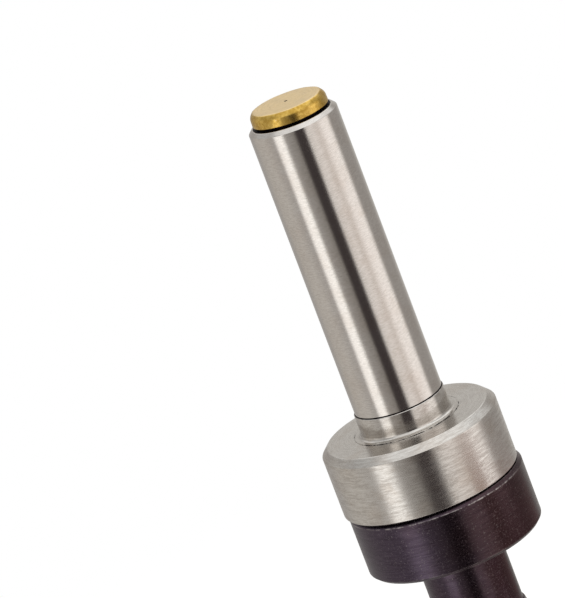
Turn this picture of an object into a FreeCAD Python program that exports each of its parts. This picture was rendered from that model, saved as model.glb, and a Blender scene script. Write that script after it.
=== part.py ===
import FreeCAD, Part
import Sketcher
import math
import os

# Off-centre edge finder. Two lapped flanges stand face to face: the lower one belongs to the shank that a
# collet holds, the upper one to the contact end. A tension spring runs through both. It hooks onto a cross
# pin in a plug at the shank's end and onto a cross pin in the brass button on top, so it pulls the flanges
# together while the contact end can slide off centre and spin.
#
# Frame: +Z along the tool, the origin at the centre of the shank's end face, in millimetres.
# The contact end rests a little to the -X side of the shank's axis, as such a tool does after use.

doc = FreeCAD.newDocument("EdgeFinder")

SIZES = {
    # shank, from its end face up to the lapped face
    "shank_diameter": 12.0,
    "shank_length": 28.8,
    "shank_end_chamfer": 0.6,
    "shank_lead_diameter": 10.1,
    "shank_lead_length": 3.55,
    "relief_diameter": 9.68,
    "relief_length": 8.55,
    "relief_corner": 0.3,
    "flange_diameter": 20.0,
    "shank_flange_length": 7.15,
    "shank_flange_top_chamfer": 0.4,
    "shank_flange_low_chamfer": 0.35,
    # contact end, from its lapped face up
    "contact_flange_length": 7.9,
    "contact_flange_top_chamfer": 0.8,
    "contact_flange_low_chamfer": 0.27,
    "neck_diameter": 10.26,
    "neck_length": 2.72,
    "neck_top_chamfer": 0.13,
    "flare_radius": 0.43,
    "collar_rim": 0.44,
    "collar_step": 0.05,
    "spigot_wall": 0.9,
    "spigot_length": 24.0,
    "spigot_chamfer": 0.3,
    "bore_lead": 0.3,
    # measuring sleeve
    "sleeve_diameter": 10.0,
    "sleeve_length": 33.64,
    "sleeve_top_chamfer": 0.44,
    "sleeve_low_chamfer": 0.06,
    # brass button
    "button_diameter": 8.6,
    "button_thickness": 1.52,
    "button_bevel_width": 0.43,
    "button_bevel_height": 0.5,
    "button_low_chamfer": 0.1,
    "button_dimple_radius": 0.18,
    "button_dimple_depth": 0.14,
    "shoulder_diameter": 7.9,
    "shoulder_height": 0.24,
    "stem_length": 6.0,
    "stem_clearance": 0.03,
    "stem_chamfer": 0.3,
    "button_roof": 1.2,
    "button_pin_depth": 3.2,
    # anchor plug in the shank's end
    "plug_wall": 1.4,
    "plug_length": 5.0,
    "plug_recess": 0.6,
    "plug_chamfer": 0.3,
    # cross pins
    "pin_diameter": 1.0,
    "pin_inset": 0.1,
    # tension spring
    "wire_diameter": 0.5,
    "coil_diameter": 3.2,
    "coil_pitch": 0.95,
    "coil_turns": 24.0,
    "hook_diameter": 2.6,
    "hook_clearance": 0.05,
    # motion
    "rest_offset": 0.35,
    "throw": 0.8,
    "bore_clearance": 0.3,
}

sheet = doc.addObject("Spreadsheet::Sheet", "Sizes")
for row, (alias, value) in enumerate(SIZES.items(), start=1):
    sheet.set("A%d" % row, alias.replace("_", " "))
    sheet.set("B%d" % row, str(value))
    sheet.setAlias("B%d" % row, alias)
doc.recompute()


def value_of(expression):
    """Number that an expression on the sheet gives now, in millimetres."""
    return float(sheet.evalExpression(expression))


# Lengths and radii that several pieces share, as expressions on the sheet.
SHANK_RADIUS = "Sizes.shank_diameter / 2"
RELIEF_RADIUS = "Sizes.relief_diameter / 2"
FLANGE_RADIUS = "Sizes.flange_diameter / 2"
NECK_RADIUS = "Sizes.neck_diameter / 2"
SLEEVE_RADIUS = "Sizes.sleeve_diameter / 2"
BUTTON_RADIUS = "Sizes.button_diameter / 2"
PIN_RADIUS = "Sizes.pin_diameter / 2"
SPRING_BORE_RADIUS = "(Sizes.coil_diameter / 2 + Sizes.throw + Sizes.bore_clearance)"
HOOK_ROOM_RADIUS = "(Sizes.hook_diameter / 2 + Sizes.throw)"
SPIGOT_RADIUS = "(%s + Sizes.spigot_wall)" % SPRING_BORE_RADIUS
STEM_RADIUS = "(%s - Sizes.stem_clearance)" % SPIGOT_RADIUS
PLUG_RADIUS = "(%s + Sizes.plug_wall)" % HOOK_ROOM_RADIUS
HOOK_DROP = "(Sizes.hook_diameter / 2 - Sizes.wire_diameter - Sizes.pin_diameter / 2 - Sizes.hook_clearance)"

# The contact end's axis, and heights along the tool.
HEAD_AXIS = "-Sizes.rest_offset"
FLANGE_UNDERSIDE = "(Sizes.shank_length + Sizes.relief_length)"
PLUG_SEAT = "(Sizes.plug_recess + Sizes.plug_length)"
LAPPED_FACE = "(%s + Sizes.shank_flange_length)" % FLANGE_UNDERSIDE
SLEEVE_SEAT = "(%s + Sizes.contact_flange_length + Sizes.neck_length)" % LAPPED_FACE
SLEEVE_TOP = "(%s + Sizes.sleeve_length)" % SLEEVE_SEAT
ANCHOR_PIN_HEIGHT = "(Sizes.plug_recess + Sizes.plug_length / 2)"
BUTTON_PIN_HEIGHT = "(%s - Sizes.button_pin_depth)" % SLEEVE_TOP
LOWER_HOOK_HEIGHT = "(%s + %s)" % (ANCHOR_PIN_HEIGHT, HOOK_DROP)
UPPER_HOOK_HEIGHT = "(%s - %s)" % (BUTTON_PIN_HEIGHT, HOOK_DROP)


# Every profile below is a list of corners, each a radius and a height in its own piece's frame, where the
# height counts from the piece's lower end. Corners run up the inside of the piece and down its outside.
# A corner with a third value starts a hollow quarter round: its radius, and the direction from the round's
# centre to the corner, in degrees.


def origin_plane(body, role):
    """One of a body's own origin planes, such as XZ_Plane."""
    return [feature for feature in body.Origin.OriginFeatures if feature.Role == role][0]


def new_sketch(body, name, role):
    """Empty sketch on one of the body's origin planes."""
    sketch = body.newObject("Sketcher::SketchObject", name)
    sketch.AttachmentSupport = [(origin_plane(body, role), "")]
    sketch.MapMode = "FlatFace"
    return sketch


def bind(sketch, kind, *target, expression):
    """Add a dimension to the sketch and tie it to the sheet."""
    index = sketch.addConstraint(Sketcher.Constraint(kind, *target, value_of(expression)))
    sketch.setExpression("Constraints[%d]" % index, expression)


def bind_point(sketch, geometry, end, across, along):
    """Hold a point at a radius and a height that follow the sheet, or on an axis where either is 0."""
    if across == "0":
        sketch.addConstraint(Sketcher.Constraint("PointOnObject", geometry, end, -2))
    else:
        bind(sketch, "DistanceX", -1, 1, geometry, end, expression=across)
    if along == "0":
        sketch.addConstraint(Sketcher.Constraint("PointOnObject", geometry, end, -1))
    else:
        bind(sketch, "DistanceY", -1, 1, geometry, end, expression=along)


def hollow_round(start, radius, direction):
    """Quarter of a circle from a corner, centred away from it against the given direction in degrees."""
    toward = FreeCAD.Rotation(FreeCAD.Vector(0, 0, 1), direction).multVec(FreeCAD.Vector(radius, 0, 0))
    circle = Part.Circle(start - toward, FreeCAD.Vector(0, 0, 1), radius)
    return Part.ArcOfCircle(circle, math.radians(direction), math.radians(direction + 90))


def draw_profile(sketch, corners):
    """Closed outline through the corners, every corner tied to the sheet."""
    points = [FreeCAD.Vector(value_of(corner[0]), value_of(corner[1]), 0) for corner in corners]
    for index, corner in enumerate(corners):
        following = points[(index + 1) % len(points)]
        if len(corner) > 2:
            sketch.addGeometry(hollow_round(points[index], value_of(corner[2]), corner[3]), False)
        else:
            sketch.addGeometry(Part.LineSegment(points[index], following), False)
    for index, corner in enumerate(corners):
        sketch.addConstraint(Sketcher.Constraint("Coincident", index, 2, (index + 1) % len(corners), 1))
        bind_point(sketch, index, 1, corner[0], corner[1])
        if len(corner) > 2:
            bind(sketch, "Radius", index, expression=corner[2])


def turned_piece(label, corners):
    """Body turned about its own Z axis from a closed profile."""
    body = doc.addObject("PartDesign::Body", label)
    body.Label = label
    profile = new_sketch(body, label + "_profile", "XZ_Plane")
    draw_profile(profile, corners)
    doc.recompute()
    turning = body.newObject("PartDesign::Revolution", label + "_turning")
    turning.Profile = profile
    turning.ReferenceAxis = (profile, ["V_Axis"])
    turning.Angle = 360
    doc.recompute()
    return body


def drill_across(body, role, height):
    """Drill a hole for a cross pin right through a turned piece, square to the named plane."""
    before = body.Shape.Volume
    sketch = new_sketch(body, body.Label + "_pin_hole", role)
    start = FreeCAD.Vector(0, value_of(height), 0)
    radius = value_of(PIN_RADIUS)
    sketch.addGeometry(Part.Circle(start, FreeCAD.Vector(0, 0, 1), radius), False)
    bind_point(sketch, 0, 3, "0", height)
    bind(sketch, "Radius", 0, expression=PIN_RADIUS)
    doc.recompute()
    hole = body.newObject("PartDesign::Pocket", body.Label + "_drilling")
    hole.Profile = sketch
    hole.Type = "ThroughAll"
    hole.SideType = "Symmetric"
    doc.recompute()
    if body.Shape.Volume >= before:
        raise RuntimeError("the cross hole in %s cuts nothing" % body.Label)


def place(piece, x, y, z):
    """Hold a piece's own origin at X, Y and Z expressions on the sheet."""
    for axis, expression in (("x", x), ("y", y), ("z", z)):
        piece.setExpression("Placement.Base.%s" % axis, expression)


# Shank: lapped flange, relief neck and, past a tapered lead, the ground tail that the collet holds, in one
# turned piece. A stepped bore runs through it: the wide end takes the anchor plug, which the spring pulls up
# against the step.
shank_body = turned_piece("shank_body", [
    ("%s + Sizes.plug_chamfer" % PLUG_RADIUS, "0"),
    (PLUG_RADIUS, "Sizes.plug_chamfer"),
    (PLUG_RADIUS, PLUG_SEAT),
    (SPRING_BORE_RADIUS, PLUG_SEAT),
    (SPRING_BORE_RADIUS, "%s - Sizes.bore_lead" % LAPPED_FACE),
    ("%s + Sizes.bore_lead" % SPRING_BORE_RADIUS, LAPPED_FACE),
    ("%s - Sizes.shank_flange_top_chamfer" % FLANGE_RADIUS, LAPPED_FACE),
    (FLANGE_RADIUS, "%s - Sizes.shank_flange_top_chamfer" % LAPPED_FACE),
    (FLANGE_RADIUS, "%s + Sizes.shank_flange_low_chamfer" % FLANGE_UNDERSIDE),
    ("%s - Sizes.shank_flange_low_chamfer" % FLANGE_RADIUS, FLANGE_UNDERSIDE),
    ("%s + Sizes.relief_corner" % RELIEF_RADIUS, FLANGE_UNDERSIDE),
    (RELIEF_RADIUS, "%s - Sizes.relief_corner" % FLANGE_UNDERSIDE),
    (RELIEF_RADIUS, "Sizes.shank_length"),
    ("Sizes.shank_lead_diameter / 2", "Sizes.shank_length"),
    (SHANK_RADIUS, "Sizes.shank_length - Sizes.shank_lead_length"),
    (SHANK_RADIUS, "Sizes.shank_end_chamfer"),
    ("%s - Sizes.shank_end_chamfer" % SHANK_RADIUS, "0"),
])

# Contact end: lapped flange, a low collar that flares into the neck, and the spigot that carries the sleeve.
CONTACT_TOP = "Sizes.contact_flange_length"
COLLAR_TOP = "(Sizes.contact_flange_length + Sizes.collar_step)"
COLLAR_RADIUS = "(%s + Sizes.flare_radius + Sizes.collar_rim)" % NECK_RADIUS
NECK_TOP = "(Sizes.contact_flange_length + Sizes.neck_length)"
SPIGOT_TOP = "(%s + Sizes.spigot_length)" % NECK_TOP
contact_head = turned_piece("contact_head", [
    ("%s + Sizes.bore_lead" % SPRING_BORE_RADIUS, "0"),
    (SPRING_BORE_RADIUS, "Sizes.bore_lead"),
    (SPRING_BORE_RADIUS, SPIGOT_TOP),
    ("%s - Sizes.spigot_chamfer" % SPIGOT_RADIUS, SPIGOT_TOP),
    (SPIGOT_RADIUS, "%s - Sizes.spigot_chamfer" % SPIGOT_TOP),
    (SPIGOT_RADIUS, NECK_TOP),
    ("%s - Sizes.neck_top_chamfer" % NECK_RADIUS, NECK_TOP),
    (NECK_RADIUS, "%s - Sizes.neck_top_chamfer" % NECK_TOP),
    (NECK_RADIUS, "%s + Sizes.flare_radius" % COLLAR_TOP, "Sizes.flare_radius", 180),
    ("%s + Sizes.flare_radius" % NECK_RADIUS, COLLAR_TOP),
    (COLLAR_RADIUS, COLLAR_TOP),
    (COLLAR_RADIUS, CONTACT_TOP),
    ("%s - Sizes.contact_flange_top_chamfer" % FLANGE_RADIUS, CONTACT_TOP),
    (FLANGE_RADIUS, "%s - Sizes.contact_flange_top_chamfer" % CONTACT_TOP),
    (FLANGE_RADIUS, "Sizes.contact_flange_low_chamfer"),
    ("%s - Sizes.contact_flange_low_chamfer" % FLANGE_RADIUS, "0"),
])
place(contact_head, HEAD_AXIS, "0", LAPPED_FACE)

# Measuring sleeve: the ground tube that touches the work, pressed on the spigot down to the neck.
measuring_sleeve = turned_piece("measuring_sleeve", [
    (SPIGOT_RADIUS, "0"),
    (SPIGOT_RADIUS, "Sizes.sleeve_length"),
    ("%s - Sizes.sleeve_top_chamfer" % SLEEVE_RADIUS, "Sizes.sleeve_length"),
    (SLEEVE_RADIUS, "Sizes.sleeve_length - Sizes.sleeve_top_chamfer"),
    (SLEEVE_RADIUS, "Sizes.sleeve_low_chamfer"),
    ("%s - Sizes.sleeve_low_chamfer" % SLEEVE_RADIUS, "0"),
])
place(measuring_sleeve, HEAD_AXIS, "0", SLEEVE_SEAT)

# Brass button: a bevelled head over a narrow shoulder that bears on the sleeve's end face, and a hollow stem
# that runs in the sleeve's bore, so that the contact end turns while the button and the spring stay.
SHOULDER_FACE = "Sizes.stem_length"
BUTTON_UNDERSIDE = "(Sizes.stem_length + Sizes.shoulder_height)"
BUTTON_TOP = "(%s + Sizes.button_thickness)" % BUTTON_UNDERSIDE
STEM_ROOF = "(Sizes.stem_length - Sizes.button_roof)"
brass_button = turned_piece("brass_button", [
    ("0", STEM_ROOF),
    ("0", "%s - Sizes.button_dimple_depth" % BUTTON_TOP),
    ("Sizes.button_dimple_radius", BUTTON_TOP),
    ("%s - Sizes.button_bevel_width" % BUTTON_RADIUS, BUTTON_TOP),
    (BUTTON_RADIUS, "%s - Sizes.button_bevel_height" % BUTTON_TOP),
    (BUTTON_RADIUS, "%s + Sizes.button_low_chamfer" % BUTTON_UNDERSIDE),
    ("%s - Sizes.button_low_chamfer" % BUTTON_RADIUS, BUTTON_UNDERSIDE),
    ("Sizes.shoulder_diameter / 2", BUTTON_UNDERSIDE),
    ("Sizes.shoulder_diameter / 2", SHOULDER_FACE),
    (STEM_RADIUS, SHOULDER_FACE),
    (STEM_RADIUS, "Sizes.stem_chamfer"),
    ("%s - Sizes.stem_chamfer" % STEM_RADIUS, "0"),
    (HOOK_ROOM_RADIUS, "0"),
    (HOOK_ROOM_RADIUS, STEM_ROOF),
])
drill_across(brass_button, "XZ_Plane", "Sizes.stem_length - Sizes.button_pin_depth")
place(brass_button, HEAD_AXIS, "0", "%s - Sizes.stem_length" % SLEEVE_TOP)

# Anchor plug: a ring in the shank's wide bore, open in the middle for the spring's lower hook.
anchor_plug = turned_piece("anchor_plug", [
    ("%s + Sizes.plug_chamfer" % HOOK_ROOM_RADIUS, "0"),
    (HOOK_ROOM_RADIUS, "Sizes.plug_chamfer"),
    (HOOK_ROOM_RADIUS, "Sizes.plug_length"),
    (PLUG_RADIUS, "Sizes.plug_length"),
    (PLUG_RADIUS, "Sizes.plug_chamfer"),
    ("%s - Sizes.plug_chamfer" % PLUG_RADIUS, "0"),
])
drill_across(anchor_plug, "YZ_Plane", "Sizes.plug_length / 2")
place(anchor_plug, "0", "0", "Sizes.plug_recess")


def cross_pin(label, length, rotation):
    """Round pin as long as the expression says, turned from the Z axis."""
    pin = doc.addObject("Part::Cylinder", label)
    pin.Label = label
    pin.setExpression("Radius", PIN_RADIUS)
    pin.setExpression("Height", length)
    pin.Placement = FreeCAD.Placement(FreeCAD.Vector(), rotation)
    return pin


# Cross pins: the lower one lies along X in the plug, the upper one along Y in the button.
ANCHOR_PIN_LENGTH = "(2 * (%s - Sizes.pin_inset))" % PLUG_RADIUS
anchor_pin = cross_pin("anchor_pin", ANCHOR_PIN_LENGTH, FreeCAD.Rotation(FreeCAD.Vector(0, 1, 0), 90))
place(anchor_pin, "-%s / 2" % ANCHOR_PIN_LENGTH, "0", ANCHOR_PIN_HEIGHT)

BUTTON_PIN_LENGTH = "(2 * (%s - Sizes.pin_inset))" % STEM_RADIUS
button_pin = cross_pin("button_pin", BUTTON_PIN_LENGTH, FreeCAD.Rotation(FreeCAD.Vector(1, 0, 0), -90))
place(button_pin, HEAD_AXIS, "-%s / 2" % BUTTON_PIN_LENGTH, BUTTON_PIN_HEIGHT)

# Tension spring, in its own frame with the lower hook's centre at the origin. The wire starts round the lower
# hook, runs up the axis as a straight leg, steps out to the coil, winds up it, steps back in and ends round
# the upper hook, which is square to the lower one because the two pins cross. It is inside the tool, so the
# wire has a few flat sides and its rounds are short straight runs.
WIRE_SIDES = 6
STEPS_IN_HOOK = 10
STEPS_IN_TURN = 8
HOOK_SWEEP = 335.0
WIRE_RADIUS = "Sizes.wire_diameter / 2"
COIL_RADIUS = "((Sizes.coil_diameter - Sizes.wire_diameter) / 2)"
HOOK_RADIUS = "((Sizes.hook_diameter - Sizes.wire_diameter) / 2)"
HOOK_SPAN = "(%s - %s)" % (UPPER_HOOK_HEIGHT, LOWER_HOOK_HEIGHT)


def hook_nodes(centre, across, leg_direction, outward):
    """Nodes round a hook, from its leg when outward, else towards it; the runs lie tangent to the hook."""
    step = HOOK_SWEEP / STEPS_IN_HOOK
    reach = value_of(HOOK_RADIUS) / math.cos(math.radians(step / 2))
    angles = [math.radians(step * index) for index in range(STEPS_IN_HOOK + 1)]
    nodes = [centre + (leg_direction * math.cos(a) + across * math.sin(a)) * reach for a in angles]
    return nodes if outward else nodes[::-1]


def coil_nodes(start_height):
    """Nodes up the coil from the side of the lower arm."""
    radius = value_of(COIL_RADIUS)
    rise = value_of("Sizes.coil_pitch") / STEPS_IN_TURN
    nodes = []
    for index in range(round(value_of("Sizes.coil_turns")) * STEPS_IN_TURN + 1):
        angle = 2 * math.pi * index / STEPS_IN_TURN
        height = start_height + rise * index
        nodes.append(FreeCAD.Vector(radius * math.cos(angle), radius * math.sin(angle), height))
    return nodes


def spring_nodes():
    """The wire's whole centre line, from the lower hook's open end to the upper one's."""
    up = FreeCAD.Vector(0, 0, 1)
    span = value_of(HOOK_SPAN)
    coil_length = value_of("Sizes.coil_pitch") * round(value_of("Sizes.coil_turns"))
    coil_start = (span - coil_length) / 2
    lower_hook = hook_nodes(FreeCAD.Vector(), FreeCAD.Vector(0, 1, 0), up, outward=False)
    upper_hook = hook_nodes(up * span, FreeCAD.Vector(1, 0, 0), -up, outward=True)
    lower_bend = [up * coil_start]
    upper_bend = [up * (coil_start + coil_length)]
    return lower_hook + lower_bend + coil_nodes(coil_start) + upper_bend + upper_hook


wire_path = doc.addObject("Part::Polygon", "wire_path")
wire_path.Nodes = spring_nodes()
wire_section = doc.addObject("Part::RegularPolygon", "wire_section")
wire_section.Polygon = WIRE_SIDES
wire_section.setExpression("Circumradius", WIRE_RADIUS)
wire_start = wire_path.Nodes[0]
wire_section.Placement = FreeCAD.Placement(
    wire_start, FreeCAD.Rotation(FreeCAD.Vector(0, 0, 1), wire_path.Nodes[1] - wire_start)
)
tension_spring = doc.addObject("Part::Sweep", "tension_spring")
tension_spring.Label = "tension_spring"
tension_spring.Sections = [wire_section]
tension_spring.Spine = wire_path
tension_spring.Solid = True
tension_spring.Frenet = False
tension_spring.Transition = "Right corner"
place(tension_spring, HEAD_AXIS, "0", LOWER_HOOK_HEIGHT)

PIECES = [
    shank_body,
    anchor_plug,
    anchor_pin,
    tension_spring,
    contact_head,
    measuring_sleeve,
    brass_button,
    button_pin,
]

doc.recompute()
for item in doc.Objects:
    if "Invalid" in item.State or "Error" in item.State:
        raise RuntimeError("%s did not recompute: %s" % (item.Label, item.State))
for piece in PIECES:
    if piece.Shape.isNull() or not piece.Shape.isValid() or len(piece.Shape.Solids) != 1:
        raise RuntimeError("%s is not one valid solid" % piece.Label)

os.makedirs("parts", exist_ok=True)
for piece in PIECES:
    piece.Shape.exportStep("parts/%s.step" % piece.Label)
    box = piece.Shape.BoundBox
    extent = "%.2f x %.2f x %.2f mm" % (box.XLength, box.YLength, box.ZLength)
    print("%-18s %-26s volume %.2f mm3" % (piece.Label, extent, piece.Shape.Volume))
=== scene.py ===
"""Looks of an off-centre edge finder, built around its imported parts.

The tool is a blackened shank with a lapped flange, a bright contact end whose own flange rests on it a little
off centre, a ground measuring sleeve on that end and a brass swivel button on top. Every turned piece is made
again here as a surface of revolution whose edges are broken as a lathe hand breaks them, so that the light
catches them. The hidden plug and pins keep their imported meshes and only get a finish.
"""

import logging
import math
from dataclasses import dataclass, field
from enum import Enum
from typing import Callable, NamedTuple, Sequence

import bpy
import numpy as np
from mathutils import Matrix, Vector


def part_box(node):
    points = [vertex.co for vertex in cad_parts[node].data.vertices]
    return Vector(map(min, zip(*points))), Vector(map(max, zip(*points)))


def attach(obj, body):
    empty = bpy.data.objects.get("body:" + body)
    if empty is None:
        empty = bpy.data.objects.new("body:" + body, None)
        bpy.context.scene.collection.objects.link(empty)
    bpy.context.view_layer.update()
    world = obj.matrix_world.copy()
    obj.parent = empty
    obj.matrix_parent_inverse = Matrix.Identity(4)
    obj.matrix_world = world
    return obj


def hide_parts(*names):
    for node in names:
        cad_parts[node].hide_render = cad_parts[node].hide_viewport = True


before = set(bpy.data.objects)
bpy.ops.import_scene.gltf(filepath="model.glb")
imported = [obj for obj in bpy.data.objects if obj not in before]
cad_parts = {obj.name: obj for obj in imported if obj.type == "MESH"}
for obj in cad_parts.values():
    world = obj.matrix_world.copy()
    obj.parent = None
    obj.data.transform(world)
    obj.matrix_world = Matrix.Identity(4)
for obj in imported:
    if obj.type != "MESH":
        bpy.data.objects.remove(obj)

MM = 0.001
PROFILE_MAP = "profile"
WEAR = "wear"
# Vertex mask of painted shade in gaps, recesses and under edges, with a little dirt.
SHADE_AND_GRIME = "shade_and_grime"
LOG = logging.getLogger("edge_finder")

Colour = tuple[float, float, float]
Socket = bpy.types.NodeSocket
Sockets = bpy.types.NodeOutputs
Input = Socket | float | Sequence[float]
Waver = Callable[[np.ndarray, np.ndarray, np.ndarray], tuple[np.ndarray, np.ndarray]]

WHITE: Colour = (1.0, 1.0, 1.0)
# Near-black colour of the painted shade in gaps and recesses, and of oil and dirt.
SHADE_AND_OIL: Colour = (0.012, 0.007, 0.01)


class Blend(Enum):
    """How two colours are mixed in a material."""

    MIX = "MIX"
    MULTIPLY = "MULTIPLY"


class Body(Enum):
    """Moving bodies of the tool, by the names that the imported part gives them."""

    SHANK = "shank"
    SPRING = "spring"
    BUTTON = "button"
    HEAD = "head"


# ------------------------------------------------------------------------------------------------ materials


class Texture(NamedTuple):
    """Noise, by how often it changes, how many finer layers it has and how strong each of them is."""

    scale: float
    detail: float = 3.0
    roughness: float = 0.55


def band(middle: float, reach: float) -> tuple[float, float]:
    """Return the two ends of a range about its middle."""
    return middle - reach, middle + reach


def opaque(colour: Input) -> Input:
    """Return a plain colour with full alpha, and a socket as it is."""
    return colour if isinstance(colour, bpy.types.NodeSocket) else (*colour, 1.0)


class NodeBench:
    """A material, or the world, with an empty node tree and short calls that add to it.

    A Mix node's sockets are numbered. The constants give its first input, its second and its result.
    """

    COLOUR_MIX = (6, 7, 2)
    VECTOR_MIX = (4, 5, 1)
    SMUDGE = Texture(1100.0, 3.0, 0.6)

    def __init__(self, owner: bpy.types.ID) -> None:
        """Clear the owner's node tree.

        Args:
            owner: Material or world whose nodes are built.
        """
        owner.use_nodes = True
        self.owner = owner
        self.tree = owner.node_tree
        self.tree.nodes.clear()

    @classmethod
    def on_material(cls, name: str) -> "NodeBench":
        """Return a bench on a new material."""
        return cls(bpy.data.materials.new(name))

    def add(
        self, kind: str, inputs: dict[str | int, Input] | None = None, **settings: object
    ) -> bpy.types.Node:
        """Add a node, set its properties, and set or link its inputs.

        Args:
            kind: Node type, such as ShaderNodeMath.
            inputs: Values or sockets by the input's name or number.
            **settings: Properties of the node.

        Returns:
            The new node.
        """
        node = self.tree.nodes.new(kind)
        for name, value in settings.items():
            setattr(node, name, value)
        for key, value in (inputs or {}).items():
            if isinstance(value, bpy.types.NodeSocket):
                self.tree.links.new(value, node.inputs[key])
            else:
                node.inputs[key].default_value = value
        return node

    def math(self, operation: str, first: Input, second: Input = 0.0) -> Socket:
        """Return the result of a Math node on two numbers."""
        return self.add("ShaderNodeMath", {0: first, 1: second}, operation=operation).outputs[0]

    def times(self, first: Input, second: Input) -> Socket:
        """Return the product of two numbers."""
        return self.math("MULTIPLY", first, second)

    def plus(self, first: Input, second: Input) -> Socket:
        """Return the sum of two numbers."""
        return self.math("ADD", first, second)

    def vector(self, operation: str, first: Input, second: Input = (0.0, 0.0, 0.0)) -> Sockets:
        """Return the outputs of a Vector Math node on two vectors."""
        return self.add("ShaderNodeVectorMath", {0: first, 1: second}, operation=operation).outputs

    def parts(self, vector: Input) -> Sockets:
        """Return a vector's three parts."""
        return self.add("ShaderNodeSeparateXYZ", {0: vector}).outputs

    def remap(
        self, value: Input, low: float, high: float, to_low: float = 0.0, to_high: float = 1.0
    ) -> Socket:
        """Carry a number smoothly from one range to another and hold it at the ends.

        Args:
            value: The number.
            low: Start of its range.
            high: End of its range.
            to_low: What the start becomes.
            to_high: What the end becomes.

        Returns:
            The carried number's socket.
        """
        inputs = {"Value": value, "From Min": low, "From Max": high, "To Min": to_low, "To Max": to_high}
        return self.add("ShaderNodeMapRange", inputs, interpolation_type="SMOOTHSTEP").outputs[0]

    def mix(self, amount: Input, first: Input, second: Input, blend: Blend = Blend.MIX) -> Socket:
        """Return a mix of two colours; plain colours are given without alpha."""
        one, two, result = self.COLOUR_MIX
        inputs = {0: amount, one: opaque(first), two: opaque(second)}
        return self.add("ShaderNodeMix", inputs, data_type="RGBA", blend_type=blend.value).outputs[result]

    def mix_normals(self, amount: Input, first: Socket, second: Socket) -> Socket:
        """Return a mix of two normals."""
        one, two, result = self.VECTOR_MIX
        inputs = {0: amount, one: first, two: second}
        return self.add("ShaderNodeMix", inputs, data_type="VECTOR").outputs[result]

    def noise(self, vector: Input, texture: Texture) -> Socket:
        """Return the value of a noise, about 0.5 on average."""
        inputs = dict(zip(("Vector", "Scale", "Detail", "Roughness"), (vector, *texture)))
        return self.add("ShaderNodeTexNoise", inputs).outputs[0]

    def swing(self, noise: Socket, width: float) -> Socket:
        """Return a noise moved to swing about 0, and scaled by a width."""
        return self.times(self.math("SUBTRACT", noise, 0.5), width)

    def ramp(self, share: Socket, stops: list[tuple[float, Colour]]) -> Socket:
        """Return a colour ramp through stops, each a position from 0 to 1 and a colour."""
        node = self.add("ShaderNodeValToRGB", {0: share})
        elements = node.color_ramp.elements
        for index, (position, colour) in enumerate(stops):
            stop = elements[index] if index < 2 else elements.new(1.0)
            stop.position = position
            stop.color = opaque(colour)
        return node.outputs[0]

    def bump(self, height: Input, depth: float, under: Socket | None = None) -> Socket:
        """Raise a normal by a height.

        Args:
            height: Height from 0 to 1.
            depth: Length of a full height, in metres.
            under: Normal to start from, if not the surface's own.

        Returns:
            The raised normal's socket.
        """
        inputs: dict[str | int, Input] = {"Strength": 1.0, "Distance": depth, "Height": height}
        if under is not None:
            inputs["Normal"] = under
        return self.add("ShaderNodeBump", inputs).outputs[0]

    def place(self, axis_x: float = 0.0) -> Socket:
        """Return Object coordinates counted from a turned piece's own axis."""
        coordinates = self.add("ShaderNodeTexCoord").outputs["Object"]
        shift = {"Vector": coordinates, "Location": (-axis_x, 0.0, 0.0)}
        return self.add("ShaderNodeMapping", shift).outputs[0]

    def flat(self, place: Socket) -> Socket:
        """Return a place with its height taken away."""
        return self.vector("MULTIPLY", place, (1.0, 1.0, 0.0))[0]

    def axis_distance(self, place: Socket) -> Socket:
        """Return how far a point lies from the piece's axis, in metres."""
        return self.vector("LENGTH", self.flat(place))["Value"]

    def tool_path(self, place: Socket, around: float, along: float) -> Socket:
        """Return a vector for marks that run round a turned piece.

        The direction from the axis, as a unit vector in X and Y, is scaled by around; the third part is the
        length along the piece's profile, from its UV map, scaled by along. A noise on it has streaks that
        follow the tool round every cylinder, cone and face.

        Args:
            place: Coordinates counted from the piece's axis.
            around: How many times the noise changes round the piece.
            along: How many times it changes for each metre along the profile.

        Returns:
            The vector's socket.
        """
        direction = self.parts(self.vector("NORMALIZE", self.flat(place))[0])
        profile = self.parts(self.add("ShaderNodeUVMap", uv_map=PROFILE_MAP).outputs[0])
        inputs = {
            0: self.times(direction[0], around),
            1: self.times(direction[1], around),
            2: self.times(profile[1], along),
        }
        return self.add("ShaderNodeCombineXYZ", inputs).outputs[0]

    def attribute(self, name: str) -> Socket:
        """Return a number stored on the mesh's vertices."""
        return self.add("ShaderNodeAttribute", attribute_name=name).outputs["Fac"]

    def shade_and_soil(self, place: Socket) -> Socket:
        """Return how thick the painted shade and some dirt lie, from 0 to 1.

        The stored mask is mostly painted shade in gaps, recesses and under edges, with a little dirt. It is
        shifted by a fine noise before it is cut off. So a full mask covers its place, and a little of it
        shows only as scattered smudges.
        """
        broken = self.swing(self.noise(place, self.SMUDGE), 1.1)
        return self.remap(self.plus(self.attribute(SHADE_AND_GRIME), broken), 0.42, 0.66)

    def seen(self) -> Socket:
        """Return 1 for what the camera sees directly, and 0 for what only lights or mirrors."""
        return self.add("ShaderNodeLightPath").outputs["Is Camera Ray"]

    def glow(self, colour: Colour) -> Socket:
        """Return a shader that gives off light of its own."""
        return self.add("ShaderNodeEmission", {"Color": opaque(colour), "Strength": 1.0}).outputs[0]

    def surface(self, shader: Socket) -> bpy.types.Material:
        """Send a shader to the material's surface, and return the material."""
        self.add("ShaderNodeOutputMaterial", {"Surface": shader})
        return self.owner

    def metal(self, colour: Socket, rough: Socket, normal: Socket) -> bpy.types.Material:
        """Finish the material as bare metal, and return it."""
        inputs = {"Base Color": colour, "Metallic": 1.0, "Roughness": rough, "Normal": normal}
        return self.surface(self.add("ShaderNodeBsdfPrincipled", inputs).outputs[0])


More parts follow.
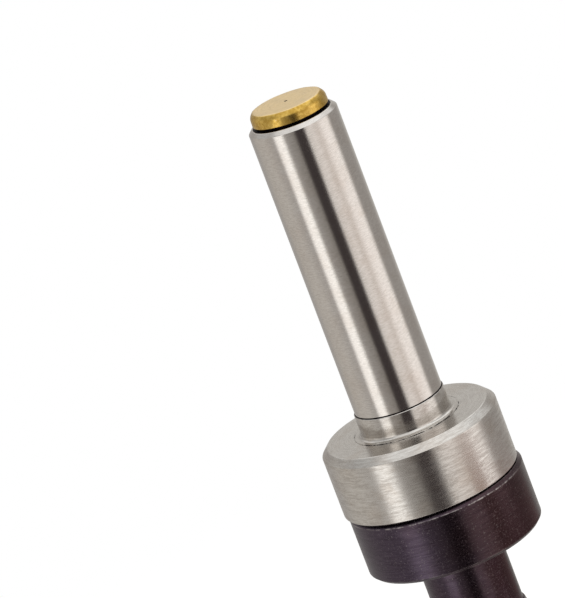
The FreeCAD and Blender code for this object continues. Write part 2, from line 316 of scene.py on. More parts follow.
@dataclass(frozen=True)
class TurnedSteel:
    """Bare steel with the marks of a lathe, a grinder or a brush running round it.

    Attributes:
        name: Material name.
        axis_x: X of the piece's axis, in metres.
        dark: Colour in the marks.
        light: Colour between them.
        roughness: Least and greatest roughness.
        marks: Marks round the piece and for each metre along it.
        mark_depth: Height of the marks, in metres.
        wave: How much the marks wander.
        hollow_depth: Height of the broad, slow unevenness that the machining left, in metres.
        stain: Colour of the faint handling stains.
        stain_amount: Their strength.
        polished_radius: Distance from the axis within which the piece is finished finer, in metres.
    """

    name: str
    axis_x: float
    dark: Colour
    light: Colour
    roughness: tuple[float, float]
    marks: tuple[float, float]
    mark_depth: float
    wave: float
    hollow_depth: float
    stain: Colour
    stain_amount: float
    polished_radius: float = 0.0

    WANDER = Texture(260.0, 2.0)
    COARSE = Texture(1.0, 3.0, 0.6)
    FINE = Texture(4.3, 2.0, 0.5)
    CLOUD = Texture(330.0, 5.0, 0.65)
    HOLLOW = Texture(170.0, 1.0)
    POLISH_EDGE = 0.3 * MM
    POLISH = 0.62
    SHADE_AND_SOIL_ROUGHNESS = 0.4

    def material(self) -> bpy.types.Material:
        """Return the finish as a material."""
        bench = NodeBench.on_material(self.name)
        place = bench.place(self.axis_x)
        path = bench.tool_path(place, *self.marks)
        push = bench.swing(bench.noise(place, self.WANDER), self.wave)
        swayed = bench.vector("ADD", path, push)[0]
        coarse = bench.noise(swayed, self.COARSE)
        fine = bench.noise(swayed, self.FINE)
        marks = bench.plus(bench.times(coarse, 0.6), bench.times(fine, 0.4))
        steel = bench.mix(bench.remap(marks, 0.34, 0.66), self.dark, self.light)
        cloud = bench.remap(bench.noise(place, self.CLOUD), 0.44, 0.7)
        stained = bench.mix(bench.times(cloud, self.stain_amount), steel, self.stain, Blend.MULTIPLY)
        # Painted shade: near-black in gaps, recesses and under edges, from the stored mask, with a few dirt
        # smudges.
        shade_and_soil = bench.shade_and_soil(place)
        edge = band(self.polished_radius, self.POLISH_EDGE)
        finer = bench.remap(bench.axis_distance(place), *edge, self.POLISH, 1.0)
        smooth, dull = self.roughness
        rough = bench.times(bench.remap(marks, 0.3, 0.7, dull, smooth), finer)
        hollows = bench.bump(bench.noise(place, self.HOLLOW), self.hollow_depth)
        return bench.metal(
            bench.mix(shade_and_soil, stained, SHADE_AND_OIL),
            bench.plus(rough, bench.times(shade_and_soil, self.SHADE_AND_SOIL_ROUGHNESS)),
            bench.bump(bench.times(marks, finer), self.mark_depth, hollows),
        )


@dataclass(frozen=True)
class BlackOxide:
    """Blackened steel: an aubergine film with a painted brown reflection on one side, speckled, worn bright
    at its edges.

    Below the film's lower limit the piece is ground bare.

    Attributes:
        name: Material name.
        film: Colour of the film.
        reflected_brown: Colour of a painted reflection of brown surroundings, laid on the film towards +X.
        reflection_spread: X at which the painted brown reflection starts, and at which it is full, in metres.
        bare: Colour of the steel under it.
        lower_limit: Height under which the piece is ground bare, in metres.
    """

    name: str
    film: Colour
    reflected_brown: Colour
    reflection_spread: tuple[float, float]
    bare: Colour
    lower_limit: float

    MARKS = (5.0, 7000.0)
    STREAK = Texture(1.0, 4.0, 0.6)
    STREAK_TINT: Colour = (0.62, 0.6, 0.62)
    SPECKLE = Texture(5200.0, 2.0, 0.7)
    CLOUD = Texture(240.0, 4.0, 0.6)
    CLOUD_REACH = 0.012
    PATCH = Texture(170.0, 2.0)
    RUB = Texture(1300.0, 4.0, 0.7)
    LIMIT_EDGE = 0.02 * MM

    def material(self) -> bpy.types.Material:
        """Return the finish as a material."""
        bench = NodeBench.on_material(self.name)
        place = bench.place()
        across, _, height = bench.parts(place)
        marks = bench.noise(bench.tool_path(place, *self.MARKS), self.STREAK)
        speckle = bench.noise(place, self.SPECKLE)
        side = bench.plus(across, bench.swing(bench.noise(place, self.CLOUD), self.CLOUD_REACH))
        # Painted reflection: the film turns brown towards +X, standing in for brown surroundings mirrored on
        # that side.
        film = bench.mix(bench.remap(side, *self.reflection_spread), self.film, self.reflected_brown)
        film = bench.mix(bench.remap(marks, 0.3, 0.75), film, self.STREAK_TINT, Blend.MULTIPLY)
        film = bench.mix(bench.times(bench.remap(speckle, 0.56, 0.8), 0.3), film, self.bare)
        patches = bench.remap(bench.noise(place, self.PATCH), 0.4, 0.66, 0.25, 1.0)
        broken = bench.times(bench.remap(bench.noise(place, self.RUB), 0.36, 0.6), patches)
        wear_and_sheen = bench.times(bench.attribute(WEAR), broken)
        limit = band(self.lower_limit, self.LIMIT_EDGE)
        bare = bench.math("MAXIMUM", wear_and_sheen, bench.remap(height, *limit, 1.0, 0.0))
        dull = bench.remap(speckle, 0.3, 0.75, 0.2, 0.38)
        # The colour carries painted shade in gaps and recesses, with a few dirt smudges.
        return bench.metal(
            bench.mix(bench.shade_and_soil(place), bench.mix(bare, film, self.bare), SHADE_AND_OIL),
            bench.times(dull, bench.remap(bare, 0.0, 1.0, 1.0, 0.6)),
            bench.bump(marks, 0.004 * MM, bench.bump(speckle, 0.0015 * MM)),
        )


@dataclass(frozen=True)
class WornBrass:
    """Turned brass: mottled and dented at the rim, matt on its flat end and painted paler there as a painted
    reflection, with painted shade in its hollows.

    Attributes:
        name: Material name.
        axis_x: X of the button's axis, in metres.
        top: Height of the flat end, in metres.
        bright: Colour of clean brass.
        tarnish: Colour of the darker patches in the rim's mottled tone.
        wear_and_sheen: Colour of the flat end, paler than the rim: a painted reflection of the bright
            surroundings.
        speck: Colour of the specks.
    """

    name: str
    axis_x: float
    top: float
    bright: Colour
    tarnish: Colour
    wear_and_sheen: Colour
    speck: Colour

    MARKS = (2.6, 8500.0)
    STREAK = Texture(1.0, 3.0, 0.6)
    STREAK_TINT: Colour = (0.86, 0.85, 0.82)
    CLOUD = Texture(620.0, 4.0, 0.65)
    GRAIN = Texture(3600.0, 2.0, 0.6)
    SPECK = Texture(1900.0, 1.0)
    DENT = Texture(430.0, 2.0)
    END_DULLNESS = 0.16

    def material(self) -> bpy.types.Material:
        """Return the finish as a material."""
        bench = NodeBench.on_material(self.name)
        place = bench.place(self.axis_x)
        marks = bench.noise(bench.tool_path(place, *self.MARKS), self.STREAK)
        cloud = bench.noise(place, self.CLOUD)
        grain = bench.noise(place, self.GRAIN)
        tone = bench.plus(bench.times(grain, 0.4), bench.times(cloud, 0.6))
        rim = bench.mix(bench.remap(tone, 0.38, 0.62), self.tarnish, self.bright)
        specks = bench.remap(bench.noise(place, self.SPECK), 0.68, 0.76)
        rim = bench.mix(bench.times(specks, 0.6), rim, self.speck)
        flat = bench.remap(bench.parts(place)[2], self.top - 0.1 * MM, self.top - 0.02 * MM)
        worn = bench.mix(bench.remap(marks, 0.3, 0.6), self.STREAK_TINT, WHITE)
        # Painted reflection: the flat end is painted paler than the rim, standing in for the bright
        # surroundings mirrored there.
        end = bench.mix(1.0, worn, self.wear_and_sheen, Blend.MULTIPLY)
        rough = bench.remap(tone, 0.35, 0.65, 0.34, 0.2)
        dents = bench.bump(bench.noise(place, self.DENT), 0.07 * MM)
        fine = bench.bump(grain, 0.003 * MM, bench.bump(marks, 0.002 * MM, dents))
        # The colour carries painted shade in the dimple and under the head, with a few dirt smudges.
        return bench.metal(
            bench.mix(bench.shade_and_soil(place), bench.mix(flat, rim, end), SHADE_AND_OIL),
            bench.plus(rough, bench.times(flat, self.END_DULLNESS)),
            bench.mix_normals(flat, fine, bench.bump(marks, 0.004 * MM)),
        )


@dataclass(frozen=True)
class PlainSteel:
    """Small inner pieces: drawn or turned steel with an even grain and a trace of old oil.

    Attributes:
        name: Material name.
        steel: Colour of the metal.
        oil: Colour of the oil film.
        roughness: Least and greatest roughness.
    """

    name: str
    steel: Colour
    oil: Colour
    roughness: tuple[float, float]

    GRAIN = Texture(4200.0, 3.0, 0.6)
    FILM = Texture(420.0)

    @classmethod
    def pin(cls, name: str) -> "PlainSteel":
        """Return the finish of a drawn pin."""
        return cls(name, (0.5, 0.49, 0.48), (0.25, 0.22, 0.18), (0.15, 0.3))

    def material(self) -> bpy.types.Material:
        """Return the finish as a material."""
        bench = NodeBench.on_material(self.name)
        place = bench.place()
        grain = bench.noise(place, self.GRAIN)
        film = bench.remap(bench.noise(place, self.FILM), 0.45, 0.7)
        return bench.metal(
            bench.mix(bench.times(film, 0.5), self.steel, self.oil),
            bench.remap(grain, 0.3, 0.7, *self.roughness),
            bench.bump(grain, 0.002 * MM),
        )


# ------------------------------------------------------------------------------------------------- surfaces


def unit(rows: np.ndarray) -> np.ndarray:
    """Return vectors of length one in the rows' directions."""
    return rows / np.linalg.norm(rows, axis=1, keepdims=True)


def distances(line: np.ndarray) -> np.ndarray:
    """Return how far along a line each of its points lies."""
    return np.concatenate([[0.0], np.cumsum(np.linalg.norm(np.diff(line, axis=0), axis=1))])


def circle(count: int) -> np.ndarray:
    """Return evenly spaced angles round a full circle, from 0."""
    return np.linspace(0.0, 2 * math.pi, count, endpoint=False)


def new_mesh(name: str, vertices: np.ndarray, faces: list[list[int]], smooth: bool = True) -> bpy.types.Mesh:
    """Return a new mesh from vertex positions and faces, shaded smooth or flat."""
    mesh = bpy.data.meshes.new(name)
    mesh.from_pydata(vertices, [], faces)
    mesh.polygons.foreach_set("use_smooth", np.full(len(mesh.polygons), smooth))
    mesh.update()
    return mesh


def put(name: str, data: bpy.types.ID) -> bpy.types.Object:
    """Return a new object with the given data, linked into the scene."""
    item = bpy.data.objects.new(name, data)
    bpy.context.scene.collection.objects.link(item)
    return item


@dataclass(frozen=True)
class Corner:
    """Corner of a turned piece's profile, in millimetres.

    Attributes:
        radius: Distance from the piece's axis.
        height: Height over the tool's shank end.
        broken: How far the edge is broken back along both sides.
        wear: How bare the edge is rubbed, from 0 to 1.
        shade_and_grime: How dark the corner is painted, from 0 to 1: painted shade in gaps and recesses, and
            some dirt.
        shade_and_grime_reach: How far from the corner the painted shade lies.
    """

    radius: float
    height: float
    broken: float = 0.0
    wear: float = 0.0
    shade_and_grime: float = 0.0
    shade_and_grime_reach: float = 0.1


@dataclass
class TurnedPiece:
    """Closed surface of revolution about an axis along Z.

    Attributes:
        name: Object name.
        corners: Profile corners, up the inside and down the outside.
        axis_x: X of the axis, in millimetres.
        steps: Faces round the piece.
        waver: Optional change of radius and height by angle, radius and height.
    """

    name: str
    corners: list[Corner]
    axis_x: float = 0.0
    steps: int = 288
    waver: Waver | None = None

    EDGE_POINTS = 7
    WEAR_REACH = 0.03
    SHADE_AND_GRIME_FADE = 0.07
    NEAR_EDGE = (0.03, 0.07, 0.14, 0.26, 0.5, 0.9)
    NEAR_SHARE = 0.45
    STRAIGHT_STEP = 2.5
    AXIS_LIMIT = 1e-6
    SHARP_ANGLE = 28.0

    def profile(self) -> tuple[np.ndarray, dict[str, np.ndarray]]:
        """Work out the profile's points, their wear and their grime.

        A broken edge is a parabola arc that leaves the sides at the distance given and has the corner as its
        control point. A straight stretch has points close to its ends and evenly spaced ones between them.
        Wear falls off from a corner as the exponential of the distance. The painted shade, with its little
        dirt, keeps its full value up to its reach and then falls off in a straight line.

        Returns:
            Points as rows of radius and height in millimetres, and the wear and the painted shade with dirt
            of each.
        """
        spots = np.array([(c.radius, c.height) for c in self.corners])
        before = np.roll(spots, 1, axis=0) - spots
        after = np.roll(spots, -1, axis=0) - spots
        unit_before, unit_after = unit(before), unit(after)
        rows = []
        for index, corner in enumerate(self.corners):
            leaving = spots[index]
            if corner.broken > 0.0:
                t = np.linspace(0.0, 1.0, self.EDGE_POINTS)[:, None]
                start = spots[index] + unit_before[index] * corner.broken
                leaving = spots[index] + unit_after[index] * corner.broken
                rows.append((1 - t) ** 2 * start + 2 * t * (1 - t) * spots[index] + t**2 * leaving)
            else:
                rows.append(spots[index][None])
            following = (index + 1) % len(self.corners)
            arriving = spots[following] + unit_before[following] * self.corners[following].broken
            rows.append(self.straight(leaving, arriving))
        points = np.concatenate(rows)
        gap = np.linalg.norm(points[:, None] - spots[None], axis=2)
        stated = [(c.broken, c.wear, c.shade_and_grime, c.shade_and_grime_reach) for c in self.corners]
        broken, wear, shade_and_grime, reach = np.array(stated).T
        wear = wear * np.exp(-np.maximum(gap - broken, 0.0) / self.WEAR_REACH)
        shade_and_grime = shade_and_grime * np.clip((reach - gap) / self.SHADE_AND_GRIME_FADE + 1.0, 0.0, 1.0)
        return points, {WEAR: wear.max(axis=1), SHADE_AND_GRIME: shade_and_grime.max(axis=1)}

    def straight(self, start: np.ndarray, end: np.ndarray) -> np.ndarray:
        """Return the points strictly between two ends of a straight stretch."""
        length = float(np.linalg.norm(end - start))
        near = np.array([d for d in self.NEAR_EDGE if d < length * self.NEAR_SHARE])
        inner_count = max(int(length / self.STRAIGHT_STEP), 0)
        edge = near[-1] if len(near) else 0.0
        inner = np.linspace(edge, length - edge, inner_count + 2)[1:-1] if inner_count else np.zeros(0)
        along = np.concatenate([near, inner, (length - near)[::-1]]) / max(length, 1e-9)
        return start + along[:, None] * (end - start)

    def build(self) -> bpy.types.Object:
        """Build the mesh.

        Each profile point is carried round the axis: x is the axis plus radius times the cosine of the angle,
        y is radius times its sine, and z is the height. Points on the axis become single poles.

        Returns:
            The object, at the origin, with its profile map, its wear, and its painted shade with dirt.
        """
        points, marks = self.profile()
        on_axis = points[:, 0] < self.AXIS_LIMIT
        open_profile = bool(on_axis.any())
        if open_profile:
            first = int(np.flatnonzero(on_axis)[-1])
            order = np.roll(np.arange(len(points)), -first)
            rest = order[1:]
            keep = np.concatenate([order[:1], rest[~on_axis[rest]], np.flatnonzero(on_axis)[:1]])
            points = points[keep]
            marks = {name: values[keep] for name, values in marks.items()}
        turn = np.repeat(circle(self.steps)[None], len(points), axis=0)
        radius = np.repeat(points[:, :1], self.steps, axis=1)
        height = np.repeat(points[:, 1:], self.steps, axis=1)
        if self.waver is not None:
            radius, height = self.waver(turn, radius, height)
        grid = np.stack([self.axis_x + radius * np.cos(turn), radius * np.sin(turn), height], axis=2) * MM
        length = distances(np.concatenate([points, points[:1]])) * MM
        faces, vertices, owner, chart = self.faces(grid, length, open_profile)
        mesh = new_mesh(self.name, vertices, faces)
        for name, values in marks.items():
            stored = np.ascontiguousarray(values[owner], dtype=np.float32)
            mesh.attributes.new(name, "FLOAT", "POINT").data.foreach_set("value", stored)
        mesh.uv_layers.new(name=PROFILE_MAP).data.foreach_set("uv", chart.astype(np.float32).ravel())
        mesh.set_sharp_from_angle(angle=math.radians(self.SHARP_ANGLE))
        mesh.update()
        return put(self.name, mesh)

    def faces(
        self, grid: np.ndarray, length: np.ndarray, open_profile: bool
    ) -> tuple[list[list[int]], np.ndarray, np.ndarray, np.ndarray]:
        """Join the grid's points into outward faces.

        The profile map runs round the piece in its first direction and along the profile in its second. It is
        worked out face by face, so that it has no jump where the piece closes.

        Args:
            grid: Positions by profile point and angle.
            length: Length along the profile at each point, and at the end of the closing stretch.
            open_profile: True where the first and last profile points are poles.

        Returns:
            Faces, vertex positions, each vertex's profile point, and the map's point for each face corner.
        """
        count, steps = grid.shape[:2]
        around = np.arange(steps)
        beside = (around + 1) % steps
        rows = np.arange(1, count - 2) if open_profile else np.arange(count)
        start = rows[:, None] - int(open_profile)
        below = start + 1 if open_profile else (start + 1) % count
        near, far = start * steps, below * steps
        quads = np.stack([near + around, far + around, far + beside, near + beside], axis=2)
        faces = quads.reshape(-1, 4).tolist()
        low = np.broadcast_to(around / steps, (len(rows), steps))
        here = np.broadcast_to(length[rows][:, None], low.shape)
        there = np.broadcast_to(length[rows + 1][:, None], low.shape)
        high = low + 1.0 / steps
        chart = np.stack([low, here, low, there, high, there, high, here], axis=2).reshape(-1, 2)
        if not open_profile:
            return faces, grid.reshape(-1, 3), np.repeat(np.arange(count), steps), chart
        inner = count - 2
        top, bottom, last = inner * steps, inner * steps + 1, (inner - 1) * steps
        cap = np.stack([np.full(steps, top), around, beside], axis=1)
        base = np.stack([last + around, np.full(steps, bottom), last + beside], axis=1)
        side, level = around / steps, np.ones(steps)
        middle, end = side + 0.5 / steps, side + 1.0 / steps
        pole, edge = level * length[0], level * length[1]
        cap_chart = np.stack([middle, pole, side, edge, end, edge], axis=1)
        pole, edge = level * length[-2], level * length[-3]
        base_chart = np.stack([side, edge, middle, pole, end, edge], axis=1)
        owner = np.concatenate([np.repeat(np.arange(1, count - 1), steps), [0, count - 1]])
        vertices = np.concatenate([grid[1:-1].reshape(-1, 3), grid[[0, -1], 0]])
        chart = np.concatenate([chart, cap_chart.reshape(-1, 2), base_chart.reshape(-1, 2)])
        return faces + cap.tolist() + base.tolist(), vertices, owner, chart


@dataclass
class WireSpring:
    """Round wire coiled as a tension spring, with a hook at each end square to the other.

    Attributes:
        name: Object name.
        axis_x: X of the coil's axis, in millimetres.
        lower_hook: Height of the lower hook's centre.
        upper_hook: Height of the upper hook's centre.
        wire_radius: Radius of the wire.
        coil_radius: Radius of the wire's centre line in the coil.
        hook_radius: Radius of the wire's centre line in the hooks.
        pitch: Rise of one turn.
        turns: Turns in the coil.
        hook_sweep: How far a hook runs round, in degrees.
    """

    name: str
    axis_x: float
    lower_hook: float
    upper_hook: float
    wire_radius: float = 0.25
    coil_radius: float = 1.35
    hook_radius: float = 1.05
    pitch: float = 0.95
    turns: int = 24
    hook_sweep: float = 335.0

    STEPS_IN_TURN = 32
    STEPS_IN_HOOK = 40
    LEG_POINTS = 30
    SIDES = 12
    SMOOTHING = 9
    SMOOTHING_STEP = 0.12
    MESH_STEP = 0.16
    END_CONE = 0.4

    def centre_line(self) -> np.ndarray:
        """Work out the wire's centre line from the lower hook's open end to the upper one's.

        A hook is an arc about its own centre, in the YZ plane below and in the XZ plane above. The coil is a
        helix: x and y are the coil radius times the cosine and sine of the angle, and the height rises by the
        pitch in a turn. A straight leg on the axis joins each hook to the coil. A running mean along the line
        rounds the bends between them.

        Returns:
            Points in millimetres, one row each.
        """
        sweep = np.radians(np.linspace(0.0, self.hook_sweep, self.STEPS_IN_HOOK))
        span = self.upper_hook - self.lower_hook
        start = (span - self.pitch * self.turns) / 2
        zero = np.zeros_like(sweep)
        lower = np.stack([zero, np.sin(sweep), np.cos(sweep)], axis=1)[::-1] * self.hook_radius
        upper = np.stack([np.sin(sweep), zero, -np.cos(sweep)], axis=1) * self.hook_radius + (0.0, 0.0, span)
        turn = np.linspace(0.0, 2 * math.pi * self.turns, self.turns * self.STEPS_IN_TURN + 1)
        rise = start + self.pitch * turn / (2 * math.pi)
        coil = np.stack([self.coil_radius * np.cos(turn), self.coil_radius * np.sin(turn), rise], axis=1)
        leg = np.linspace(self.hook_radius, start, self.LEG_POINTS)[1:-1]
        lower_leg = np.stack([leg * 0, leg * 0, leg], axis=1)
        upper_leg = np.stack([leg * 0, leg * 0, span - leg[::-1]], axis=1)
        line = np.concatenate([lower, lower_leg, coil, upper_leg, upper])
        even = self.resample(line, self.SMOOTHING_STEP)
        weights = np.ones(self.SMOOTHING) / self.SMOOTHING
        reach = self.SMOOTHING // 2
        soft = np.stack([np.convolve(even[:, k], weights, mode="valid") for k in range(3)], axis=1)
        line = np.concatenate([even[:reach], soft, even[-reach:]])
        return self.resample(line, self.MESH_STEP) + (self.axis_x, 0.0, self.lower_hook)

    @staticmethod
    def resample(line: np.ndarray, step: float) -> np.ndarray:
        """Return points evenly spaced along a line, about a step apart."""
        length = distances(line)
        even = np.linspace(0.0, length[-1], int(length[-1] / step) + 1)
        return np.stack([np.interp(even, length, line[:, k]) for k in range(3)], axis=1)

    def build(self) -> bpy.types.Object:
        """Build the mesh.

        The wire's circle is carried along the centre line. Its side direction at each point is square to
        the line and to one fixed slanting direction, which no stretch of the wire follows, and the third
        direction is square to both. Each end closes with a low cone.

        Returns:
            The object, at the origin.
        """
        line = self.centre_line()
        along = unit(np.gradient(line, axis=0))
        side = unit(np.cross(along, np.ones(3)))
        third = np.cross(along, side)
        angle = circle(self.SIDES)[None, :, None]
        ring = side[:, None] * np.cos(angle) + third[:, None] * np.sin(angle)
        grid = line[:, None] + ring * self.wire_radius
        cone = along * self.wire_radius * self.END_CONE
        ends = np.stack([line[0] - cone[0], line[-1] + cone[-1]])
        vertices = np.concatenate([grid.reshape(-1, 3), ends]) * MM
        around = np.arange(self.SIDES)
        beside = (around + 1) % self.SIDES
        row = np.arange(len(line) - 1)[:, None] * self.SIDES
        onward = row + self.SIDES
        quads = np.stack([row + around, row + beside, onward + beside, onward + around], axis=2)
        count = len(line) * self.SIDES
        last = count - self.SIDES
        start = np.stack([beside, around, np.full(self.SIDES, count)], axis=1)
        end = np.stack([last + around, last + beside, np.full(self.SIDES, count + 1)], axis=1)
        faces = quads.reshape(-1, 4).tolist() + start.tolist() + end.tolist()
        return put(self.name, new_mesh(self.name, vertices, faces))


# ----------------------------------------------------------------------------------------------- assemblies


def mount(piece: bpy.types.Object, node: str, body: Body, finish: bpy.types.Material) -> None:
    """Dress a new piece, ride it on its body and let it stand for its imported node."""
    piece.data.materials.append(finish)
    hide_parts(node)
    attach(piece, body.value)
    LOG.info("%s stands for %s and rides on %s", piece.name, node, body.value)


def dress(node: str, finish: bpy.types.Material) -> None:
    """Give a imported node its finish."""
    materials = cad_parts[node].data.materials
    materials.clear()
    materials.append(finish)
    LOG.info("%s keeps its packed mesh", node)


def span_of(node: str) -> tuple[float, float, float, float]:
    """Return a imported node's axis X, greatest radius, and lowest and highest point, in millimetres."""
    low, high = (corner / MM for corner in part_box(node))
    return (low.x + high.x) / 2, (high.x - low.x) / 2, low.z, high.z


@dataclass
class Shank:
    """Blackened shank with its lapped flange, relief neck, ground tail and the spring's anchor plug."""

    tail_radius: float = 6.0
    tail_length: float = 28.8
    end_chamfer: float = 0.6
    lead_radius: float = 5.05
    lead_length: float = 3.55
    relief_radius: float = 4.84
    relief_length: float = 8.55
    relief_corner: float = 0.3
    top_chamfer: float = 0.4
    low_chamfer: float = 0.35
    spring_bore: float = 2.7
    plug_bore: float = 3.5
    plug_seat: float = 5.6
    plug_lead: float = 0.3
    bore_lead: float = 0.3

    def body(self) -> TurnedPiece:
        """Return the shank's surface."""
        _, flange, foot, face = span_of("shank_body")
        under = self.tail_length + self.relief_length
        return TurnedPiece("shank", [
            Corner(self.plug_bore + self.plug_lead, foot, 0.04),
            Corner(self.plug_bore, foot + self.plug_lead, 0.04),
            Corner(self.plug_bore, self.plug_seat),
            Corner(self.spring_bore, self.plug_seat, 0.04),
            Corner(self.spring_bore, face - self.bore_lead, 0.04),
            Corner(self.spring_bore + self.bore_lead, face, 0.03),
            Corner(flange - self.top_chamfer, face, 0.03, 0.25),
            Corner(flange, face - self.top_chamfer, 0.03, 1.0),
            Corner(flange, under + self.low_chamfer, 0.05, 0.15),
            Corner(flange - self.low_chamfer, under, 0.03, 0.8),
            # Painted shade in the corner under the flange.
            Corner(self.relief_radius + self.relief_corner, under, 0.05, 0.0, 0.6, 0.4),
            Corner(self.relief_radius, under - self.relief_corner, 0.05),
            Corner(self.relief_radius, self.tail_length),
            Corner(self.lead_radius, self.tail_length, 0.03, 0.6),
            Corner(self.tail_radius, self.tail_length - self.lead_length, 0.05, 0.6),
            Corner(self.tail_radius, foot + self.end_chamfer, 0.05, 0.6),
            Corner(self.tail_radius - self.end_chamfer, foot, 0.05, 0.6),
        ])

    def build(self) -> None:
        """Build and dress the shank, the plug and its pin."""
        oxide = BlackOxide(
            name="aubergine_oxide",
            film=(0.09, 0.069, 0.098),
            # Painted reflection of brown surroundings on the +X side of the film.
            reflected_brown=(0.072, 0.044, 0.05),
            reflection_spread=(-7.0 * MM, 6.0 * MM),
            bare=(0.5, 0.46, 0.45),
            lower_limit=(self.tail_length - 0.04) * MM,
        )
        mount(self.body().build(), "shank_body", Body.SHANK, oxide.material())
        plug = PlainSteel("turned_plug_steel", (0.42, 0.4, 0.38), (0.2, 0.17, 0.13), (0.25, 0.45))
        dress("anchor_plug", plug.material())
        dress("anchor_pin", PlainSteel.pin("drawn_pin_steel").material())


@dataclass
class Spring:
    """Tension spring that draws the two flanges together."""

    def build(self) -> None:
        """Build and dress the spring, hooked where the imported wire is."""
        low, high = (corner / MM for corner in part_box("tension_spring"))
        wire = WireSpring("spring_wire", span_of("button_pin")[0], 0.0, 0.0)
        reach = wire.hook_radius + wire.wire_radius
        wire.lower_hook = low.z + reach
        wire.upper_hook = high.z - reach
        steel = PlainSteel("oiled_spring_wire", (0.34, 0.32, 0.3), (0.14, 0.1, 0.07), (0.22, 0.38))
        mount(wire.build(), "tension_spring", Body.SPRING, steel.material())


@dataclass
class Button:
    """Brass swivel button: a bevelled head over a shoulder, with a cupped stem that holds the upper pin."""

    thickness: float = 1.52
    bevel_width: float = 0.43
    bevel_height: float = 0.5
    under_chamfer: float = 0.1
    dimple_radius: float = 0.18
    dimple_depth: float = 0.14
    shoulder_radius: float = 3.95
    shoulder_height: float = 0.24
    stem_radius: float = 3.57
    stem_chamfer: float = 0.3
    cup_radius: float = 2.1
    roof: float = 1.2

    SWAYS = ((0.5, 3, 0.6), (0.35, 7, 2.1), (0.25, 13, 4.0))
    DENTED_FROM = 3.2
    DENT = 0.045
    SAG_SHARE = 0.3

    def head(self) -> TurnedPiece:
        """Return the button's surface."""
        axis, rim, foot, top = span_of("brass_button")
        under = top - self.thickness
        seat = under - self.shoulder_height
        return TurnedPiece("button", [
            Corner(0.0, seat - self.roof),
            # Painted shade in the centre dimple.
            Corner(0.0, top - self.dimple_depth, shade_and_grime=1.0, shade_and_grime_reach=0.2),
            Corner(self.dimple_radius, top, 0.03),
            Corner(rim - self.bevel_width, top, 0.2),
            Corner(rim, top - self.bevel_height, 0.3),
            Corner(rim, under + self.under_chamfer, 0.05),
            Corner(rim - self.under_chamfer, under, 0.05),
            # Painted shade under the head and round the shoulder, in the gap over the sleeve.
            Corner(self.shoulder_radius, under, shade_and_grime=1.0, shade_and_grime_reach=0.24),
            Corner(self.shoulder_radius, seat, 0.03, shade_and_grime=1.0, shade_and_grime_reach=0.4),
            Corner(self.stem_radius, seat),
            Corner(self.stem_radius, foot + self.stem_chamfer, 0.04),
            Corner(self.stem_radius - self.stem_chamfer, foot, 0.04),
            Corner(self.cup_radius, foot, 0.04),
            Corner(self.cup_radius, seat - self.roof),
        ], axis_x=axis, waver=self.handling(under, top))

    def handling(self, under: float, top: float) -> Waver:
        """Return the small dents and the uneven bevel that knocks have left on the head.

        The radius loses a sum of cosines of the angle, scaled by how far the point is up the head, from
        nothing at the underside to all of it at the top edge; the top edge also sags by a share of the sum.
        """

        def waver(
            turn: np.ndarray, radius: np.ndarray, height: np.ndarray
        ) -> tuple[np.ndarray, np.ndarray]:
            """Move the head's rim; points below the head or near its middle stay."""
            rise = np.clip((height - under) / (top - under), 0.0, 1.0)
            outer = np.clip(radius - self.DENTED_FROM, 0.0, 1.0)
            sway = sum(size * np.cos(waves * turn + start) for size, waves, start in self.SWAYS)
            amount = self.DENT * (sway + 1.0) * rise * outer
            return radius - amount, height - self.SAG_SHARE * amount

        return waver

    def build(self) -> None:
        """Build and dress the button and its pin."""
        axis, _, _, top = span_of("brass_button")
        brass = WornBrass(
            name="turned_brass",
            axis_x=axis * MM,
            top=top * MM,
            bright=(0.78, 0.53, 0.14),
            tarnish=(0.52, 0.32, 0.06),
            # Paler colour of the flat end: a painted reflection.
            wear_and_sheen=(0.86, 0.68, 0.4),
            speck=(0.8, 0.7, 0.5),
        )
        mount(self.head().build(), "brass_button", Body.BUTTON, brass.material())
        dress("button_pin", PlainSteel.pin("button_pin_steel").material())


